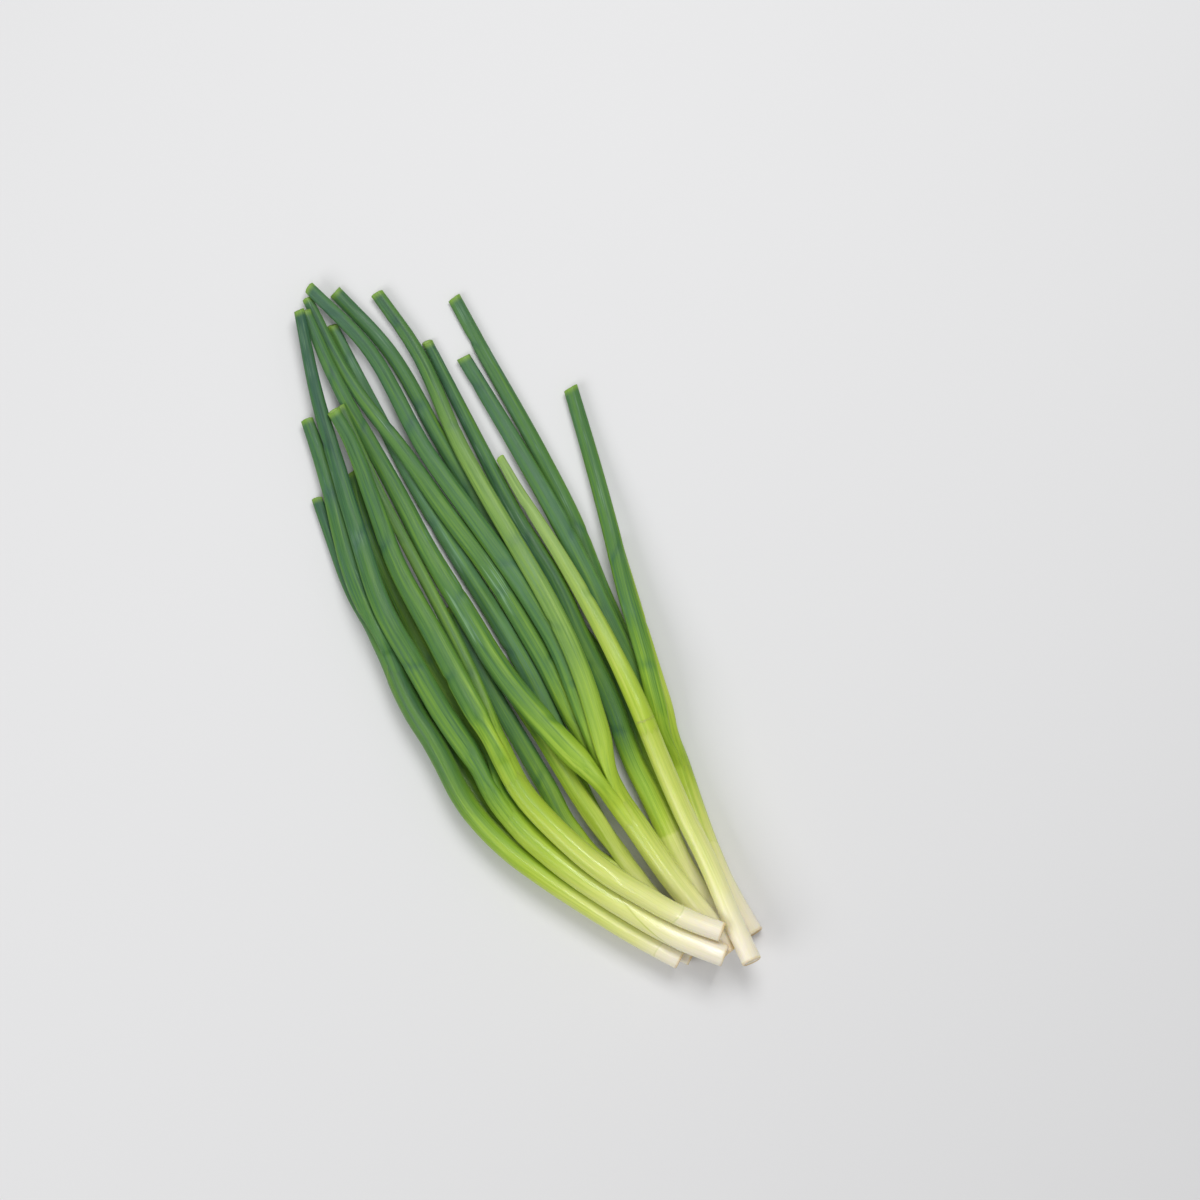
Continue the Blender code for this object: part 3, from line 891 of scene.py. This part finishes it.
def living_skin(name, roughness, bloom, coat, gloss, glow):
    """A material for one finish of the onions' skin."""
    material = bpy.data.materials.new(name)
    material.use_nodes = True
    shader = material.node_tree.nodes["Principled BSDF"]
    start = Flow(material.node_tree, None)
    strand = start.node("ShaderNodeAttribute", {"attribute_name": "strand"}, out="Vector")
    at = {measure: read(start, measure) for measure in MEASURES}
    noise = {kind: streak(strand, *size) for kind, size in STREAKS.items()}
    green = at["greenness"]

    lime_part = green.step(*LIME_COMES) * LIME_LIVELINESS
    liveliness = lime_part + green.step(*GREEN_COMES) * GREEN_LIVELINESS + LIVELINESS
    wax = (mingled(noise, WAX) + WAX_SHARE) * green.step(*WAX_COMES)
    colour = marked_skin(whole_skin(at, noise, liveliness, wax, bloom), at, noise)
    start.feed(shader.inputs["Base Color"], colour)

    waxy = green.step(*COAT_GOES)
    dulled = waxy * (GREEN_ROUGHNESS - roughness) + roughness
    uneven = mingled(noise, ROUGH_STREAKS) + wax * WAX_ROUGHNESS * bloom
    start.feed(shader.inputs["Roughness"], uneven + dulled)
    start.feed(shader.inputs["Coat Weight"], (1 - waxy * COAT_LOST) * coat)

    relief = mingled(noise, RELIEF) * (green.step(*RELIEF_COMES) * RELIEF_ADDED + RELIEF_ON_CREAM)
    height = relief + at["past_sheath"].step(*SHEATH_BAND) * SHEATH_RELIEF
    bump = {"Strength": BUMP_STRENGTH, "Distance": BUMP_HEIGHT, "Height": height}
    start.feed(shader.inputs["Normal"], start.node("ShaderNodeBump", {}, bump, out="Normal"))

    plain_values = {
        "Specular IOR Level": gloss,
        "Coat Roughness": COAT_ROUGHNESS,
        "Subsurface Weight": glow,
        "Subsurface Radius": GLOW_RADIUS,
        "Subsurface Scale": GLOW_DEPTH,
    }
    for socket, value in plain_values.items():
        shader.inputs[socket].default_value = value
    return material


# %% [markdown]
# The finishes differ only in roughness, bloom, coat, gloss and glow. Each skin takes the finish of the
# solid that it covers, rides on the one body of the bunch and takes the solid's place in the picture.

# %% The six finishes
# Roughness, share of wax bloom, clear coat, how strongly it reflects, and how much light passes under it
FINISHES = {
    "pale_stem": (0.30, 0.0, 0.40, 0.30, 0.60),
    "lime_stem": (0.30, 0.0, 0.38, 0.30, 0.48),
    "lime_leaf": (0.36, 0.02, 0.14, 0.28, 0.20),
    "mid_leaf": (0.40, 0.05, 0.08, 0.25, 0.12),
    "deep_leaf": (0.42, 0.10, 0.06, 0.25, 0.10),
    "bloomed_leaf": (0.46, 0.40, 0.04, 0.25, 0.10),
}
materials = {slot: living_skin(slot, *values) for slot, values in FINISHES.items()}

for node, skin in skins.items():
    skin.data.materials.append(materials[slots[node]])
    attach(skin, "root")
    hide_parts(node)
print("materials:", sorted(materials))

# %% [markdown]
# ## Table, light and camera
#
# The table is pale and plain. A long strip lamp high above lies along the bunch and draws a narrow streak
# of gloss down each stem. A larger key lamp beyond the tips and a fill lamp on the other side make the
# strands look round, and a dim even surround opens the shadows. The camera looks straight down through a
# long lens, which keeps the bunch nearly free of perspective.

# %% Table
FLOOR_HALF = 3.0
FLOOR_DROP = 0.0002
FLOOR_TONE = tone(226, 226, 227)
FLOOR_ROUGHNESS = 0.6
GRAIN = {"Scale": 60.0, "Detail": 4.0}
GRAIN_SHARE = 0.1
corners = [(-1, -1), (1, -1), (1, 1), (-1, 1)]
floor_mesh = bpy.data.meshes.new("table")
floor_corners = [(x * FLOOR_HALF, y * FLOOR_HALF, -FLOOR_DROP) for x, y in corners]
floor_mesh.from_pydata(floor_corners, [], [(0, 1, 2, 3)])
table = bpy.data.objects.new("table", floor_mesh)
bpy.context.scene.collection.objects.link(table)
table_finish = bpy.data.materials.new("table")
table_finish.use_nodes = True
table_shader = table_finish.node_tree.nodes["Principled BSDF"]
plain = Flow(table_finish.node_tree, None)
plain.feed(table_shader.inputs["Roughness"],
           plain.node("ShaderNodeTexNoise", {}, GRAIN) * GRAIN_SHARE + FLOOR_ROUGHNESS)
table_shader.inputs["Base Color"].default_value = FLOOR_TONE
floor_mesh.materials.append(table_finish)
print("table, metres across:", 2 * FLOOR_HALF)

# %% Light
def area_lamp(name, place, target, size, power, turn):
    """A soft lamp that faces a point, its long side turned from the X axis."""
    data = bpy.data.lights.new(name, "AREA")
    data.shape = "RECTANGLE"
    data.size, data.size_y = size
    data.energy = power
    lamp = bpy.data.objects.new(name, data)
    bpy.context.scene.collection.objects.link(lamp)
    lamp.location = place
    aim = (Vector(target) - Vector(place)).to_track_quat("-Z", "Y")
    lamp.rotation_euler = (aim @ Matrix.Rotation(turn, 3, "Z").to_quaternion()).to_euler()


MIDDLE = (0.0, 0.0, 0.01)
ALONG_BUNCH = math.radians(122)
SURROUND_STRENGTH = 0.27

# Each lamp's place, the two sides of its face, its power in watts and how far its long side is turned
LAMPS = {
    "strip_lamp": ((0.16, 0.12, 1.3), (1.5, 0.07), 4.0, ALONG_BUNCH),
    "key_lamp": ((0.1, 0.6, 1.15), (0.5, 0.5), 7.0, 0.0),
    "fill_lamp": ((-0.75, -0.45, 0.95), (0.7, 0.7), 5.0, 0.0),
}
for name, (place, size, power, turn) in LAMPS.items():
    area_lamp(name, place, MIDDLE, size, power, turn)
world = bpy.data.worlds.new("surround")
bpy.context.scene.world = world
world.use_nodes = True
surround = world.node_tree.nodes["Background"]
surround.inputs["Color"].default_value = (1.0, 1.0, 1.0, 1.0)
surround.inputs["Strength"].default_value = SURROUND_STRENGTH
bpy.context.scene.view_settings.view_transform = "Standard"
print("lamps:", sorted(LAMPS))

# %% Camera
PICTURE_PIXELS = 1200
MM_PER_PIXEL = 0.367
LENS = 120.0
SENSOR = 36.0
VIEW_CENTRE = (0.0263, 0.0090)
view_width = PICTURE_PIXELS * MM_PER_PIXEL * MM
camera_data = bpy.data.cameras.new("camera")
camera_data.lens = LENS
camera_data.sensor_width = SENSOR
camera = bpy.data.objects.new("camera", camera_data)
camera.location = (*VIEW_CENTRE, view_width * LENS / SENSOR + MIDDLE[2])
bpy.context.scene.collection.objects.link(camera)
bpy.context.scene.camera = camera
print("camera height in metres:", round(camera.location.z, 3))
